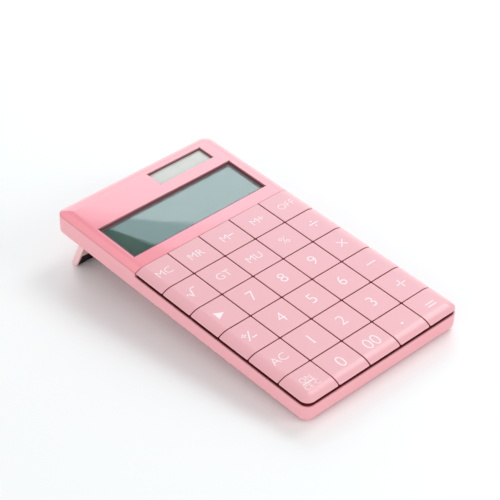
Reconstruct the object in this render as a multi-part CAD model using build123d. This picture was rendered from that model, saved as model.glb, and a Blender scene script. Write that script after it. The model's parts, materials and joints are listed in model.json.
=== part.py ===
from build123d import *
import math
import os

# A thin desk calculator: 30 flat keys edge to edge, a display panel behind them and a fold-out stand.
# Everything is modelled lying flat, with x across, y = 0 at the seam between the keys and the display,
# +y towards the display end, and z = 0 at the underside. Then it is tilted onto its open stand.
# Millimetres and degrees.

# Overall sizes
body_width = 98.0
body_length = 176.5
body_height = 13.4
display_length = 60.5
plan_corner_radius = 4.5

# Base casing
base_wall = 1.8
base_floor = 1.6
lower_edge_radius = 2.5
rim_gap = 2.3
rim_lip = 0.6
lip_gap = 0.1
parting_gap = 0.15
boss_radius = 3.0
joint_clearance = 0.2

# Keys
key_columns = 5
key_rows = 6
key_gap = 0.6
key_edge_inset = 0.2
outer_key_extra = 0.35
front_row_trim = 0.9
key_travel = 1.2
key_top_wall = 1.2
key_side_wall = 1.2
key_corner_radius = 0.5
roll_width = 5.6
roll_drop = 2.0
rolled_side_wall = 3.6
stem_width = 5.0
stem_depth = 3.2
stem_slide_gap = 0.1
hook_reach = 0.5
hook_height = 0.6
hook_gap = 0.1

# Key deck, membrane and circuit board
deck_recess = 0.2
deck_thickness = 1.2
deck_rear_overlap = 5.0
membrane_thickness = 0.6
membrane_edge_inset = 2.4
membrane_rear_inset = 4.6
dome_base_radius = 4.6
dome_top_radius = 2.9
dome_wall = 0.8
stem_below_deck = 0.7
dome_spare = 0.4
board_thickness = 1.0
board_edge_inset = 2.4
board_rear_overlap = 4.0
board_screw_column = 0.5
board_screw_rows = (1, 4)
blob_radius = 5.0
blob_height = 1.1
blob_edge_radius = 0.88
blob_column = -0.5
blob_row = 2.5
chip_length = 2.0
chip_width = 1.25
chip_height = 0.6
chip_spacing = 5.0
chip_count = 6
chip_row = 3.2

# Display panel
bezel_step = 0.6
bezel_edge_inset = 0.2
bezel_plate = 1.0
bezel_skirt = 1.0
bezel_skirt_depth = 1.75
lcd_window_width = 85.0
lcd_window_length = 27.6
lcd_window_from_seam = 8.3
solar_window_width = 35.0
solar_window_length = 10.8
solar_window_from_rear = 6.5
solar_window_centre_x = 21.0
window_lap = 2.6
solar_lap = 1.4
window_corner_radius = 0.4
gasket_thickness = 0.5
gasket_reveal = 0.25
window_thickness = 0.8
lcd_thickness = 1.8
reflector_thickness = 0.2
solar_thickness = 1.1
carrier_thickness = 1.2
carrier_side_gap = 0.5
ribbon_width = 48.0
ribbon_thickness = 0.25
ribbon_centre_x = -16.0
ribbon_pad = 2.0
wire_radius = 0.5
wire_spacing = 2.0
wire_bend = 1.5
wire_end_bend = 0.9

# Fasteners
casing_boss_column = 1.5
casing_boss_rows = (2, 5)
casing_screw_radius = 1.0
casing_head_radius = 1.8
casing_head_height = 1.2
casing_head_recess = 0.4
casing_thread_length = 2.8
deck_boss_radius = 2.2
boss_hole_gap = 0.4
small_screw_radius = 0.8
small_head_radius = 1.5
small_head_height = 1.0
small_thread_length = 2.4
small_boss_radius = 1.9
thread_gap = 0.02
screw_hole_gap = 0.2
driver_slot_width = 0.5
driver_slot_depth = 0.5
driver_slot_share = 0.7

# Button cell and its door
cell_radius = 5.8
cell_height = 3.05
cell_rim_radius = 4.6
cell_rim_height = 0.25
cell_gap = 0.3
cell_centre_x = 24.0
cell_centre_y = 8.4
pocket_wall = 1.0
door_radius = 9.5
door_gap = 0.2
door_thickness = 0.8
door_recess = 0.15
door_hub_radius = 7.8
door_lug_radius = 9.0
door_seat_gap = 0.6
door_lug_width = 7.0
door_lug_height = 0.65
door_lug_gap = 0.15
door_notch_angle = 45.0
door_clear = 0.3
coin_slot_length = 11.0
coin_slot_width = 1.6
coin_slot_depth = 0.45
contact_thickness = 0.25
contact_width = 2.2
contact_offset = 2.6

# Stand and feet
stand_length = 21.2
stand_thickness = 3.6
stand_foot_thickness = 3.1
stand_side_gap = 0.3
stand_wall = 2.2
stand_open_angle = 23.3
stand_from_rear = 17.7
stand_flush_gap = 0.2
stand_clear = 0.3
stand_stop_gap = 0.08
recess_roof = 1.2
pin_radius = 0.75
pin_running_gap = 0.05
pin_in_stand = 4.5
pin_in_wall = 1.4
strip_height = 9.5
strip_thickness = 1.4
strip_proud = 0.4
strip_end_inset = 1.2
notch_width = 18.0
notch_radius = 6.0
notch_depth = 2.6
notch_wall = 1.4
foot_radius = 4.0
foot_proud = 1.0
foot_socket = 0.8
foot_from_front = 10.0
foot_from_side = 11.0

key_names = [
    ["memory_clear", "memory_recall", "memory_minus", "memory_plus", "off"],
    ["root", "grand_total", "mark_up", "percent", "divide"],
    ["backspace", "seven", "eight", "nine", "multiply"],
    ["sign", "four", "five", "six", "minus"],
    ["all_clear", "one", "two", "three", "plus"],
    ["on_clear", "zero", "double_zero", "point", "equals"],
]

# Places worked out from the sizes above
half_width = body_width / 2
rear_y = display_length
front_y = display_length - body_length
key_front_y = front_y + key_edge_inset
key_half_width = half_width - key_edge_inset
column_pitch = (2 * (key_half_width - outer_key_extra) + key_gap) / key_columns
row_pitch = (key_gap / 2 - key_front_y + front_row_trim) / key_rows

key_top_z = body_height
key_edge_z = key_top_z - roll_drop
rim_z = key_edge_z - rim_gap
deck_top_z = rim_z - deck_recess
deck_bottom_z = deck_top_z - deck_thickness
stem_bottom_z = deck_bottom_z - stem_below_deck
dome_height = key_travel + dome_spare
membrane_top_z = stem_bottom_z - dome_height
board_top_z = membrane_top_z - membrane_thickness
board_bottom_z = board_top_z - board_thickness

bezel_top_z = key_top_z - bezel_step
bezel_edge_z = key_edge_z
display_rim_z = bezel_edge_z - parting_gap
bezel_inner_z = bezel_top_z - bezel_plate
window_top_z = bezel_inner_z - gasket_thickness
lcd_top_z = window_top_z - window_thickness
lcd_bottom_z = lcd_top_z - lcd_thickness
carrier_top_z = lcd_bottom_z - reflector_thickness
carrier_bottom_z = carrier_top_z - carrier_thickness
solar_bottom_z = window_top_z - solar_thickness

inner_half_width = half_width - base_wall
inner_front_y = front_y + base_wall
inner_rear_y = rear_y - base_wall
seam_y = key_gap / 2

solar_centre_y = rear_y - solar_window_from_rear - solar_window_length / 2
lcd_front_y = lcd_window_from_seam - window_lap
lcd_rear_y = lcd_window_from_seam + lcd_window_length + window_lap

hinge_y = rear_y - stand_from_rear
hinge_z = stand_flush_gap + stand_thickness / 2
stand_half_width = half_width - stand_wall - stand_side_gap
recess_half_width = half_width - stand_wall
recess_top_z = hinge_z + stand_thickness / 2 + stand_clear
open_angle = math.radians(stand_open_angle)
recess_front_y = hinge_y - stand_length - stand_thickness / 2 - stand_clear
stop_half_thickness = stand_thickness / 2 / math.cos(open_angle)
recess_rear_y = hinge_y + hinge_z * math.tan(open_angle) + stop_half_thickness + stand_stop_gap

# The floor, seen from the flat body, goes through the front feet's front edge and the stand's tip.
foot_y = front_y + foot_from_front
foot_front_edge_y = foot_y - foot_radius
tip_y = hinge_y + stand_length * math.sin(open_angle)
tip_z = hinge_z - stand_length * math.cos(open_angle)
tilt = math.degrees(math.atan2(-foot_proud - tip_z, tip_y - foot_front_edge_y))

boss_joint_z = board_bottom_z - joint_clearance
casing_boss_points = [
    (side * casing_boss_column * column_pitch, -row * row_pitch)
    for side in (-1, 1) for row in casing_boss_rows
]
board_screw_points = [
    (side * board_screw_column * column_pitch, -row * row_pitch)
    for side in (-1, 1) for row in board_screw_rows
]
rear_boss_x = half_width - rolled_side_wall - deck_boss_radius + joint_clearance
rear_boss_y = (recess_rear_y + inner_rear_y) / 2
rear_boss_points = [(side * rear_boss_x, rear_boss_y) for side in (-1, 1)]
bezel_screw_y = seam_y + bezel_skirt / 2 + small_boss_radius + joint_clearance
bezel_screw_points = [(side * column_pitch, bezel_screw_y) for side in (-1, 1)]
carrier_row_y = (lcd_rear_y + rear_boss_y) / 2
solar_left_x = solar_window_centre_x - solar_window_width / 2 - solar_lap
carrier_screw_points = [
    (-rear_boss_x, carrier_row_y - small_boss_radius),
    (solar_left_x - 2 * small_boss_radius - joint_clearance, carrier_row_y + small_boss_radius),
    (rear_boss_x, carrier_row_y - small_boss_radius),
]
foot_points = [(side * (half_width - foot_from_side), foot_y) for side in (-1, 1)]


def block(x_low, x_high, y_low, y_high, z_low, z_high):
    centre = Pos((x_low + x_high) / 2, (y_low + y_high) / 2, (z_low + z_high) / 2)
    return centre * Box(x_high - x_low, y_high - y_low, z_high - z_low)


def post(x, y, radius, z_low, z_high):
    return Pos(x, y, (z_low + z_high) / 2) * Cylinder(radius, z_high - z_low)


def rounded_block(x_low, x_high, y_low, y_high, z_low, z_high, radius):
    outline = RectangleRounded(x_high - x_low, y_high - y_low, radius)
    place = Pos((x_low + x_high) / 2, (y_low + y_high) / 2, z_low)
    return place * extrude(outline, z_high - z_low)


def frame_block(outer, inner, z_low, z_high, radius):
    """A flat rectangular ring; outer and inner are (x_low, x_high, y_low, y_high)."""
    ring = block(*outer, z_low, z_high)
    hole = rounded_block(*inner, z_low - 1, z_high + 1, radius)
    return ring - hole


def rolled_outline(low, high, bottom_z, edge_z, top_z, roll_low, roll_high):
    """A slab's section: a flat top that rolls off in an arc to edge_z at its low or high side, or both."""
    flat_low = low + roll_width if roll_low else low
    flat_high = high - roll_width if roll_high else high
    edges = [Line((flat_low, top_z), (flat_high, top_z))]
    if roll_high:
        edges.append(TangentArc((flat_high, top_z), (high, edge_z), tangent=(1, 0)))
        edges.append(Line((high, edge_z), (high, bottom_z)))
    else:
        edges.append(Line((high, top_z), (high, bottom_z)))
    edges.append(Line((high, bottom_z), (low, bottom_z)))
    if roll_low:
        edges.append(Line((low, bottom_z), (low, edge_z)))
        edges.append(TangentArc((flat_low, top_z), (low, edge_z), tangent=(-1, 0)))
    else:
        edges.append(Line((low, bottom_z), (low, top_z)))
    return make_face(edges)


def rolled_slab(slab_half_width, y_low, y_high, edge_z, top_z, roll_front, roll_rear):
    """The slab that the keys or the display panel are cut from, with rolled outer edges."""
    bottom_z = edge_z - roll_drop
    across = rolled_outline(-slab_half_width, slab_half_width, bottom_z, edge_z, top_z, True, True)
    along = rolled_outline(y_low, y_high, bottom_z, edge_z, top_z, roll_front, roll_rear)
    across_solid = extrude(Plane.XZ * across, body_length, both=True)
    along_solid = extrude(Plane.YZ * along, body_width, both=True)
    reach = plan_corner_radius * 2
    plan_low = y_low if roll_front else y_low - reach
    plan_high = y_high if roll_rear else y_high + reach
    plan = rounded_block(
        -slab_half_width, slab_half_width, plan_low, plan_high, edge_z, top_z, plan_corner_radius
    )
    return across_solid & along_solid & plan


def key_cell(column, row):
    """The key's outline as (x_low, x_high, y_low, y_high)."""
    x_low = -key_half_width + outer_key_extra + column * column_pitch
    x_high = x_low + column_pitch - key_gap
    if column == 0:
        x_low = -key_half_width
    if column == key_columns - 1:
        x_high = key_half_width
    y_high = -row * row_pitch - key_gap / 2
    y_low = key_front_y if row == key_rows - 1 else y_high - row_pitch + key_gap
    return x_low, x_high, y_low, y_high


def key_centre(column, row):
    x_low, x_high, y_low, y_high = key_cell(column, row)
    return (x_low + x_high) / 2, (y_low + y_high) / 2


def all_keys():
    return [(column, row) for row in range(key_rows) for column in range(key_columns)]


def make_key(slab, column, row):
    """A hollow cap whose stem goes through the deck and is held under it by two hooks."""
    x_low, x_high, y_low, y_high = key_cell(column, row)
    on_left = column == 0
    on_right = column == key_columns - 1
    on_front = row == key_rows - 1
    cap = slab & rounded_block(x_low, x_high, y_low, y_high, key_edge_z, key_top_z, key_corner_radius)
    pocket = block(
        x_low + (rolled_side_wall if on_left else key_side_wall),
        x_high - (rolled_side_wall if on_right else key_side_wall),
        y_low + (rolled_side_wall if on_front else key_side_wall),
        y_high - key_side_wall,
        key_edge_z - 1,
        key_top_z - key_top_wall,
    )
    x, y = key_centre(column, row)
    half_stem = stem_width / 2
    stem = block(
        x - half_stem, x + half_stem, y - stem_depth / 2, y + stem_depth / 2,
        stem_bottom_z, key_top_z - key_top_wall,
    )
    hook_top = deck_bottom_z - hook_gap
    hooks = block(
        x - half_stem - hook_reach, x + half_stem + hook_reach, y - stem_depth / 4, y + stem_depth / 4,
        hook_top - hook_height, hook_top,
    )
    return cap - pocket + stem + hooks


def make_base():
    """The rear casing: a tray with the stand's recess, the cell pocket, screw posts and foot sockets."""
    tray = rounded_block(-half_width, half_width, front_y, rear_y, 0, display_rim_z, plan_corner_radius)
    tray = fillet(tray.faces().sort_by(Axis.Z)[0].edges(), lower_edge_radius)
    keypad_opening = block(-body_width, body_width, front_y - 1, seam_y, rim_z, body_height)
    inside = rounded_block(
        -inner_half_width, inner_half_width, inner_front_y, inner_rear_y,
        base_floor, body_height, plan_corner_radius - base_wall,
    )
    lip_inside = rounded_block(
        -half_width + rim_lip, half_width - rim_lip, front_y + rim_lip, rear_y,
        deck_bottom_z, body_height, plan_corner_radius - rim_lip,
    )
    lip_inside &= block(-body_width, body_width, front_y, seam_y, 0, body_height)
    tray = tray - keypad_opening - inside - lip_inside

    block_half_width = half_width - base_wall / 2
    recess_block_top = recess_top_z + recess_roof
    recess_block_front = recess_front_y - recess_roof
    recess_block_rear = recess_rear_y + recess_roof
    tray += block(
        -block_half_width, block_half_width, recess_block_front, recess_block_rear,
        base_floor / 2, recess_block_top,
    )
    notch_centre_y = recess_front_y
    notch_front_y = notch_centre_y - notch_radius - notch_wall
    tray += block(
        -notch_width / 2 - notch_wall, notch_width / 2 + notch_wall, notch_front_y, recess_front_y,
        base_floor / 2, notch_depth + notch_wall,
    )
    tray -= block(
        -recess_half_width, recess_half_width, recess_front_y, recess_rear_y, -1, recess_top_z
    )
    notch_place = Pos(0, notch_centre_y, notch_depth - notch_radius) * Rot(0, 90, 0)
    tray -= notch_place * Cylinder(notch_radius, notch_width)
    for side in (-1, 1):
        pin_end = recess_half_width + pin_in_wall + pin_running_gap
        pin_hole = Pos(side * (recess_half_width + pin_end) / 2, hinge_y, hinge_z) * Rot(0, 90, 0)
        tray -= pin_hole * Cylinder(pin_radius + pin_running_gap, pin_end - recess_half_width)

    for x, y in casing_boss_points + rear_boss_points:
        tray += post(x, y, boss_radius, base_floor / 2, boss_joint_z)
        head_floor_z = casing_head_recess + casing_head_height
        tray -= post(x, y, casing_head_radius + screw_hole_gap, -1, head_floor_z)
        tray -= post(x, y, casing_screw_radius + screw_hole_gap, 0, boss_joint_z + 1)

    pocket_bore = cell_radius + cell_gap
    lug_bore = door_lug_radius + door_clear
    lug_space_top_z = base_floor + door_lug_gap + door_lug_height + door_clear
    ledge_bottom_z = door_recess + door_thickness + joint_clearance / 2
    x, y = cell_centre_x, cell_centre_y
    tray += post(x, y, lug_bore + pocket_wall, base_floor / 2, board_top_z)
    tray -= post(x, y, pocket_bore, lug_space_top_z, board_top_z + 1)
    tray -= post(x, y, lug_bore, base_floor, lug_space_top_z)
    tray -= post(x, y, door_hub_radius + door_clear, 0, base_floor + 1)
    tray -= post(x, y, door_radius + door_gap, -1, ledge_bottom_z)
    notch_bar = Box(4 * door_radius, door_lug_width + 2 * door_clear, base_floor)
    notches = Pos(x, y, base_floor / 2 + ledge_bottom_z) * Rot(0, 0, door_notch_angle) * notch_bar
    tray -= notches & post(x, y, lug_bore, ledge_bottom_z - 0.1, base_floor + 0.1)
    tray -= block(
        x + contact_offset - contact_width / 2 - joint_clearance,
        x + contact_offset + contact_width / 2 + joint_clearance,
        y - pocket_bore - joint_clearance, y,
        lug_space_top_z - joint_clearance, board_top_z + 1,
    )

    for x, y in foot_points:
        tray -= post(x, y, foot_radius, -1, foot_socket)
    return tray


def make_deck():
    """The dark plate under the keys, with a slot for each stem and bosses for the screws."""
    side = half_width - rim_lip - lip_gap
    front = front_y + rim_lip + lip_gap
    deck = rounded_block(
        -side, side, front, seam_y + 2 * plan_corner_radius,
        deck_bottom_z, deck_top_z, plan_corner_radius - rim_lip - lip_gap,
    )
    deck &= block(-body_width, body_width, front_y, seam_y - lip_gap, 0, body_height)
    tongue_side = inner_half_width - joint_clearance
    deck += block(
        -tongue_side, tongue_side, seam_y - lip_gap, deck_rear_overlap, deck_bottom_z, deck_top_z
    )
    half_slot_width = stem_width / 2 + stem_slide_gap
    half_slot_depth = stem_depth / 2 + stem_slide_gap
    for column, row in all_keys():
        x, y = key_centre(column, row)
        deck -= block(
            x - half_slot_width, x + half_slot_width, y - half_slot_depth, y + half_slot_depth, 0, body_height
        )
    for x, y in casing_boss_points:
        deck += post(x, y, deck_boss_radius, boss_joint_z, deck_bottom_z)
        deck -= post(x, y, casing_screw_radius + thread_gap, boss_joint_z - 1, deck_bottom_z)
    for x, y in board_screw_points:
        deck += post(x, y, small_boss_radius, board_top_z, deck_bottom_z)
        deck -= post(x, y, small_screw_radius + thread_gap, board_top_z - 1, deck_bottom_z)
    for x, y in bezel_screw_points:
        deck -= post(x, y, small_screw_radius + screw_hole_gap, deck_bottom_z - 1, deck_top_z + 1)
    return deck


def make_membrane():
    """The silicone sheet: one hollow dome under each key's stem."""
    side = inner_half_width - membrane_edge_inset
    sheet = block(
        -side, side, inner_front_y + membrane_edge_inset, -membrane_rear_inset, board_top_z, membrane_top_z
    )
    dome_centre_z = (membrane_top_z + stem_bottom_z) / 2
    hollow_height = membrane_thickness + dome_height - dome_wall
    for column, row in all_keys():
        x, y = key_centre(column, row)
        sheet += Pos(x, y, dome_centre_z) * Cone(dome_base_radius, dome_top_radius, dome_height)
        hollow = Cone(dome_base_radius - dome_wall, dome_top_radius - dome_wall, hollow_height)
        sheet -= Pos(x, y, board_top_z + hollow_height / 2) * hollow
    for x, y in casing_boss_points:
        sheet -= post(x, y, deck_boss_radius + boss_hole_gap, 0, body_height)
    for x, y in board_screw_points:
        sheet -= post(x, y, small_boss_radius + boss_hole_gap, 0, body_height)
    return sheet


def make_board():
    """The circuit board, cut away at the rear for the cell pocket."""
    side = inner_half_width - board_edge_inset
    front = inner_front_y + board_edge_inset
    board = block(-side, side, front, board_rear_overlap, board_bottom_z, board_top_z)
    pocket_radius = door_lug_radius + door_clear + pocket_wall + joint_clearance
    board -= block(
        cell_centre_x - pocket_radius, cell_centre_x + pocket_radius,
        cell_centre_y - pocket_radius, cell_centre_y + pocket_radius, 0, body_height,
    )
    for x, y in casing_boss_points:
        board -= post(x, y, deck_boss_radius + boss_hole_gap, 0, body_height)
    for x, y in board_screw_points:
        board -= post(x, y, small_screw_radius + screw_hole_gap, 0, body_height)
    return board


def make_processor():
    """The round cap of resin over the chip, under the board."""
    x, y = blob_column * column_pitch, -blob_row * row_pitch
    dome = post(x, y, blob_radius, board_bottom_z - blob_height, board_bottom_z)
    return fillet(dome.edges().sort_by(Axis.Z)[0], blob_edge_radius)


def make_chips():
    """Small parts soldered under the board, in one row."""
    y = -chip_row * row_pitch
    solids = []
    for index in range(chip_count):
        x = (index - (chip_count - 1) / 2) * chip_spacing
        solids.append(
            block(
                x - chip_length / 2, x + chip_length / 2, y - chip_width / 2, y + chip_width / 2,
                board_bottom_z - chip_height, board_bottom_z,
            )
        )
    return solids


def window_outline(lap):
    """The display opening grown by lap on every side."""
    half = lcd_window_width / 2 + lap
    return -half, half, lcd_window_from_seam - lap, lcd_window_from_seam + lcd_window_length + lap


def solar_outline(lap):
    """The solar opening grown by lap on every side."""
    half_x = solar_window_width / 2 + lap
    half_y = solar_window_length / 2 + lap
    return (
        solar_window_centre_x - half_x, solar_window_centre_x + half_x,
        solar_centre_y - half_y, solar_centre_y + half_y,
    )


def make_bezel():
    """The display panel: rolled edges, two openings, a skirt inside the base wall and screw bosses."""
    panel_half_width = half_width - bezel_edge_inset
    panel_rear_y = rear_y - bezel_edge_inset
    bezel = rolled_slab(
        panel_half_width, seam_y, panel_rear_y, bezel_edge_z, bezel_top_z, False, True
    )
    bezel -= block(
        -half_width + rolled_side_wall, half_width - rolled_side_wall,
        seam_y + bezel_skirt, rear_y - rolled_side_wall, 0, bezel_inner_z,
    )
    skirt_half_width = inner_half_width - joint_clearance
    skirt_rear_y = inner_rear_y - joint_clearance
    skirt_corner = plan_corner_radius - base_wall
    skirt = rounded_block(
        -skirt_half_width, skirt_half_width, seam_y - 2 * skirt_corner, skirt_rear_y,
        bezel_edge_z - bezel_skirt_depth, bezel_edge_z, skirt_corner,
    )
    skirt -= rounded_block(
        -skirt_half_width + bezel_skirt, skirt_half_width - bezel_skirt,
        seam_y - 4 * skirt_corner, skirt_rear_y - bezel_skirt,
        0, body_height, skirt_corner - bezel_skirt,
    )
    skirt -= block(-body_width, body_width, front_y, deck_rear_overlap + joint_clearance, 0, body_height)
    bezel += skirt
    bezel += block(
        -skirt_half_width, skirt_half_width, seam_y, seam_y + bezel_skirt, deck_top_z, bezel_inner_z
    )
    for x, y in bezel_screw_points:
        bezel += post(x, y, small_boss_radius, deck_top_z, bezel_inner_z)
        bezel -= post(x, y, small_screw_radius + thread_gap, 0, deck_top_z + small_thread_length)
    for x, y in carrier_screw_points:
        bezel += post(x, y, small_boss_radius, carrier_top_z, bezel_inner_z)
        bezel -= post(x, y, small_screw_radius + thread_gap, 0, carrier_top_z + small_thread_length)
    for x, y in rear_boss_points:
        bezel += post(x, y, deck_boss_radius, boss_joint_z, bezel_inner_z)
        screw_top = boss_joint_z + casing_thread_length
        bezel -= post(x, y, casing_screw_radius + thread_gap, 0, screw_top)
    bezel -= rounded_block(*window_outline(0), 0, body_height, window_corner_radius)
    bezel -= rounded_block(*solar_outline(0), 0, body_height, window_corner_radius)
    return bezel


def make_carrier():
    """The plate behind the display glass and the solar cell, screwed up into the panel."""
    side = half_width - rolled_side_wall - carrier_side_gap
    rear = rear_y - rolled_side_wall - carrier_side_gap
    front = lcd_front_y + ribbon_pad
    carrier = block(-side, side, front, rear, carrier_bottom_z, carrier_top_z)
    ring_low_x, ring_high_x, ring_low_y, ring_high_y = solar_outline(-solar_lap)
    ring_wall = solar_lap
    seat = block(ring_low_x, ring_high_x, ring_low_y, ring_high_y, carrier_top_z, solar_bottom_z)
    seat -= block(
        ring_low_x + ring_wall, ring_high_x - ring_wall, ring_low_y + ring_wall, ring_high_y - ring_wall,
        carrier_top_z - 1, solar_bottom_z + 1,
    )
    carrier += seat
    for x, y in carrier_screw_points:
        carrier -= post(x, y, small_screw_radius + screw_hole_gap, 0, body_height)
    for x, y in rear_boss_points:
        carrier -= post(x, y, deck_boss_radius + boss_hole_gap, 0, body_height)
        corner_x = math.copysign(side + 1, x)
        carrier -= block(min(x, corner_x), max(x, corner_x), y, rear + 1, 0, body_height)
    wire_x = wire_centres()
    carrier -= block(
        wire_x[0] - 2 * wire_radius, wire_x[1] + 2 * wire_radius,
        solar_centre_y - 2 * wire_radius, solar_centre_y + 2 * wire_radius, 0, body_height,
    )
    return carrier


def wire_centres():
    """The two wires pass between the ribbon and the cell pocket."""
    ribbon_end = ribbon_centre_x + ribbon_width / 2
    first = ribbon_end + 2 * wire_radius + joint_clearance
    return first, first + wire_spacing


def make_wires():
    """Two wires from the solar cell, down through the carrier and forward to the board."""
    run_z = carrier_bottom_z - joint_clearance - wire_radius
    board_y = board_rear_overlap - 2 * wire_radius
    wires = []
    for x in wire_centres():
        route = FilletPolyline(
            (x, solar_centre_y, solar_bottom_z),
            (x, solar_centre_y, run_z),
            (x, board_y, run_z),
            (x, board_y, board_top_z),
            radius=[wire_bend, wire_end_bend],
        )
        section = Plane(route @ 0, z_dir=route % 0) * Circle(wire_radius)
        wires.append(sweep(section, path=route))
    return wires


def make_ribbon():
    """The flat connector bent from the display glass down to the board."""
    x_low = ribbon_centre_x - ribbon_width / 2
    x_high = ribbon_centre_x + ribbon_width / 2
    drop_y = lcd_front_y
    top = block(x_low, x_high, drop_y, drop_y + ribbon_pad - joint_clearance,
                lcd_bottom_z - ribbon_thickness, lcd_bottom_z)
    drop = block(x_low, x_high, drop_y, drop_y + ribbon_thickness, board_top_z, lcd_bottom_z)
    foot = block(x_low, x_high, board_rear_overlap - ribbon_pad, drop_y + ribbon_thickness,
                 board_top_z, board_top_z + ribbon_thickness)
    return top + drop + foot


def make_reflector():
    x_low, x_high, y_low, y_high = window_outline(window_lap)
    return block(x_low, x_high, lcd_front_y + ribbon_pad, y_high, carrier_top_z, lcd_bottom_z)


def make_cell():
    """A button cell, 11.6 by 3.05, with its smaller cap upwards."""
    top = board_top_z
    can = post(cell_centre_x, cell_centre_y, cell_radius, top - cell_height, top - cell_rim_height)
    cap = post(cell_centre_x, cell_centre_y, cell_rim_radius, top - cell_rim_height, top)
    return can + cap


def make_contacts():
    """The leaf on the cell's cap and the leaf beside its can, both lying on the board."""
    board_y = -membrane_rear_inset + joint_clearance
    half = contact_width / 2
    top_z = board_top_z + contact_thickness
    left = cell_centre_x - contact_offset
    cap_y = cell_centre_y + cell_rim_radius / 2
    negative = block(left - half, left + half, board_y, cap_y, board_top_z, top_z)
    right = cell_centre_x + contact_offset
    touch_x = contact_offset - half
    side_y = cell_centre_y - math.sqrt(cell_radius ** 2 - touch_x ** 2) - joint_clearance / 4
    lug_space_top_z = base_floor + door_lug_gap + door_lug_height + door_clear
    positive = block(right - half, right + half, board_y, side_y, board_top_z, top_z)
    positive += block(right - half, right + half, side_y - contact_thickness, side_y, lug_space_top_z, top_z)
    return negative, positive


def make_door():
    """A round door turned with a coin; two lugs hold it behind the base floor."""
    x, y = cell_centre_x, cell_centre_y
    disc_top_z = door_recess + door_thickness
    hub_top_z = board_top_z - cell_height - joint_clearance / 2
    lug_low_z = base_floor + door_lug_gap
    door = post(x, y, door_radius, door_recess, disc_top_z)
    lug_top_z = lug_low_z + door_lug_height
    door += post(x, y, door_hub_radius, disc_top_z, lug_top_z)
    ring = post(x, y, door_lug_radius, lug_low_z, lug_top_z)
    bar = block(
        x - 2 * door_radius, x + 2 * door_radius, y - door_lug_width / 2, y + door_lug_width / 2,
        0, body_height,
    )
    door += ring & bar
    door -= post(x, y, cell_radius + door_seat_gap, hub_top_z, body_height)
    door -= block(
        x - coin_slot_length / 2, x + coin_slot_length / 2, y - coin_slot_width / 2, y + coin_slot_width / 2,
        -1, door_recess + coin_slot_depth,
    )
    return door


def make_screw(x, y, head_radius, head_low_z, head_high_z, radius, tip_z):
    """A pan head screw standing head down, with a cross slot."""
    screw = post(x, y, head_radius, head_low_z, head_high_z) + post(x, y, radius, head_high_z, tip_z)
    half = driver_slot_width / 2
    reach = head_radius * driver_slot_share
    slot_top = head_low_z + driver_slot_depth
    screw -= block(x - reach, x + reach, y - half, y + half, head_low_z - 1, slot_top)
    screw -= block(x - half, x + half, y - reach, y + reach, head_low_z - 1, slot_top)
    return screw


def make_casing_screws():
    head_high_z = casing_head_recess + casing_head_height
    tip_z = boss_joint_z + casing_thread_length - joint_clearance
    return [
        make_screw(x, y, casing_head_radius, casing_head_recess, head_high_z, casing_screw_radius, tip_z)
        for x, y in casing_boss_points + rear_boss_points
    ]


def make_small_screws(points, seat_z, tip_z):
    return [
        make_screw(x, y, small_head_radius, seat_z - small_head_height, seat_z, small_screw_radius, tip_z)
        for x, y in points
    ]


def floor_cut(lift):
    """Everything below the floor that the open stand rests on, raised by lift."""
    size = 4 * body_length
    place = Pos(0, foot_front_edge_y, -foot_proud) * Rot(-tilt, 0, 0) * Pos(0, 0, lift - size / 2)
    return place * Box(size, size, size)


def make_stand_pieces():
    """The hinged leg, its two pins and the rubber strip let into its foot."""
    top = stand_thickness / 2
    foot = stand_foot_thickness / 2
    reach = stand_length + stand_thickness
    side = make_face(Polyline((-top, 0), (top, 0), (foot, -reach), (-foot, -reach), close=True))
    open_place = Pos(0, hinge_y, hinge_z) * Rot(stand_open_angle, 0, 0)
    leg = extrude(Plane.YZ * side, stand_half_width, both=True)
    leg += Rot(0, 90, 0) * Cylinder(top, 2 * stand_half_width)
    strip_half_width = stand_half_width - strip_end_inset
    groove_top = -stand_length + strip_height
    groove = block(-strip_half_width, strip_half_width, -top, -foot + strip_thickness, -2 * reach, groove_top)
    strip = groove & extrude(Plane.YZ * side, stand_half_width, both=True)
    leg -= groove
    pins = []
    for end in (-1, 1):
        inner = stand_half_width - pin_in_stand
        outer = recess_half_width + pin_in_wall
        pin = Pos(end * (inner + outer) / 2, 0, 0) * Rot(0, 90, 0) * Cylinder(pin_radius, outer - inner)
        leg -= pin
        pins.append(open_place * pin)
    leg = open_place * leg - floor_cut(strip_proud)
    strip = open_place * strip - floor_cut(0)
    return leg, strip, pins


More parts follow.
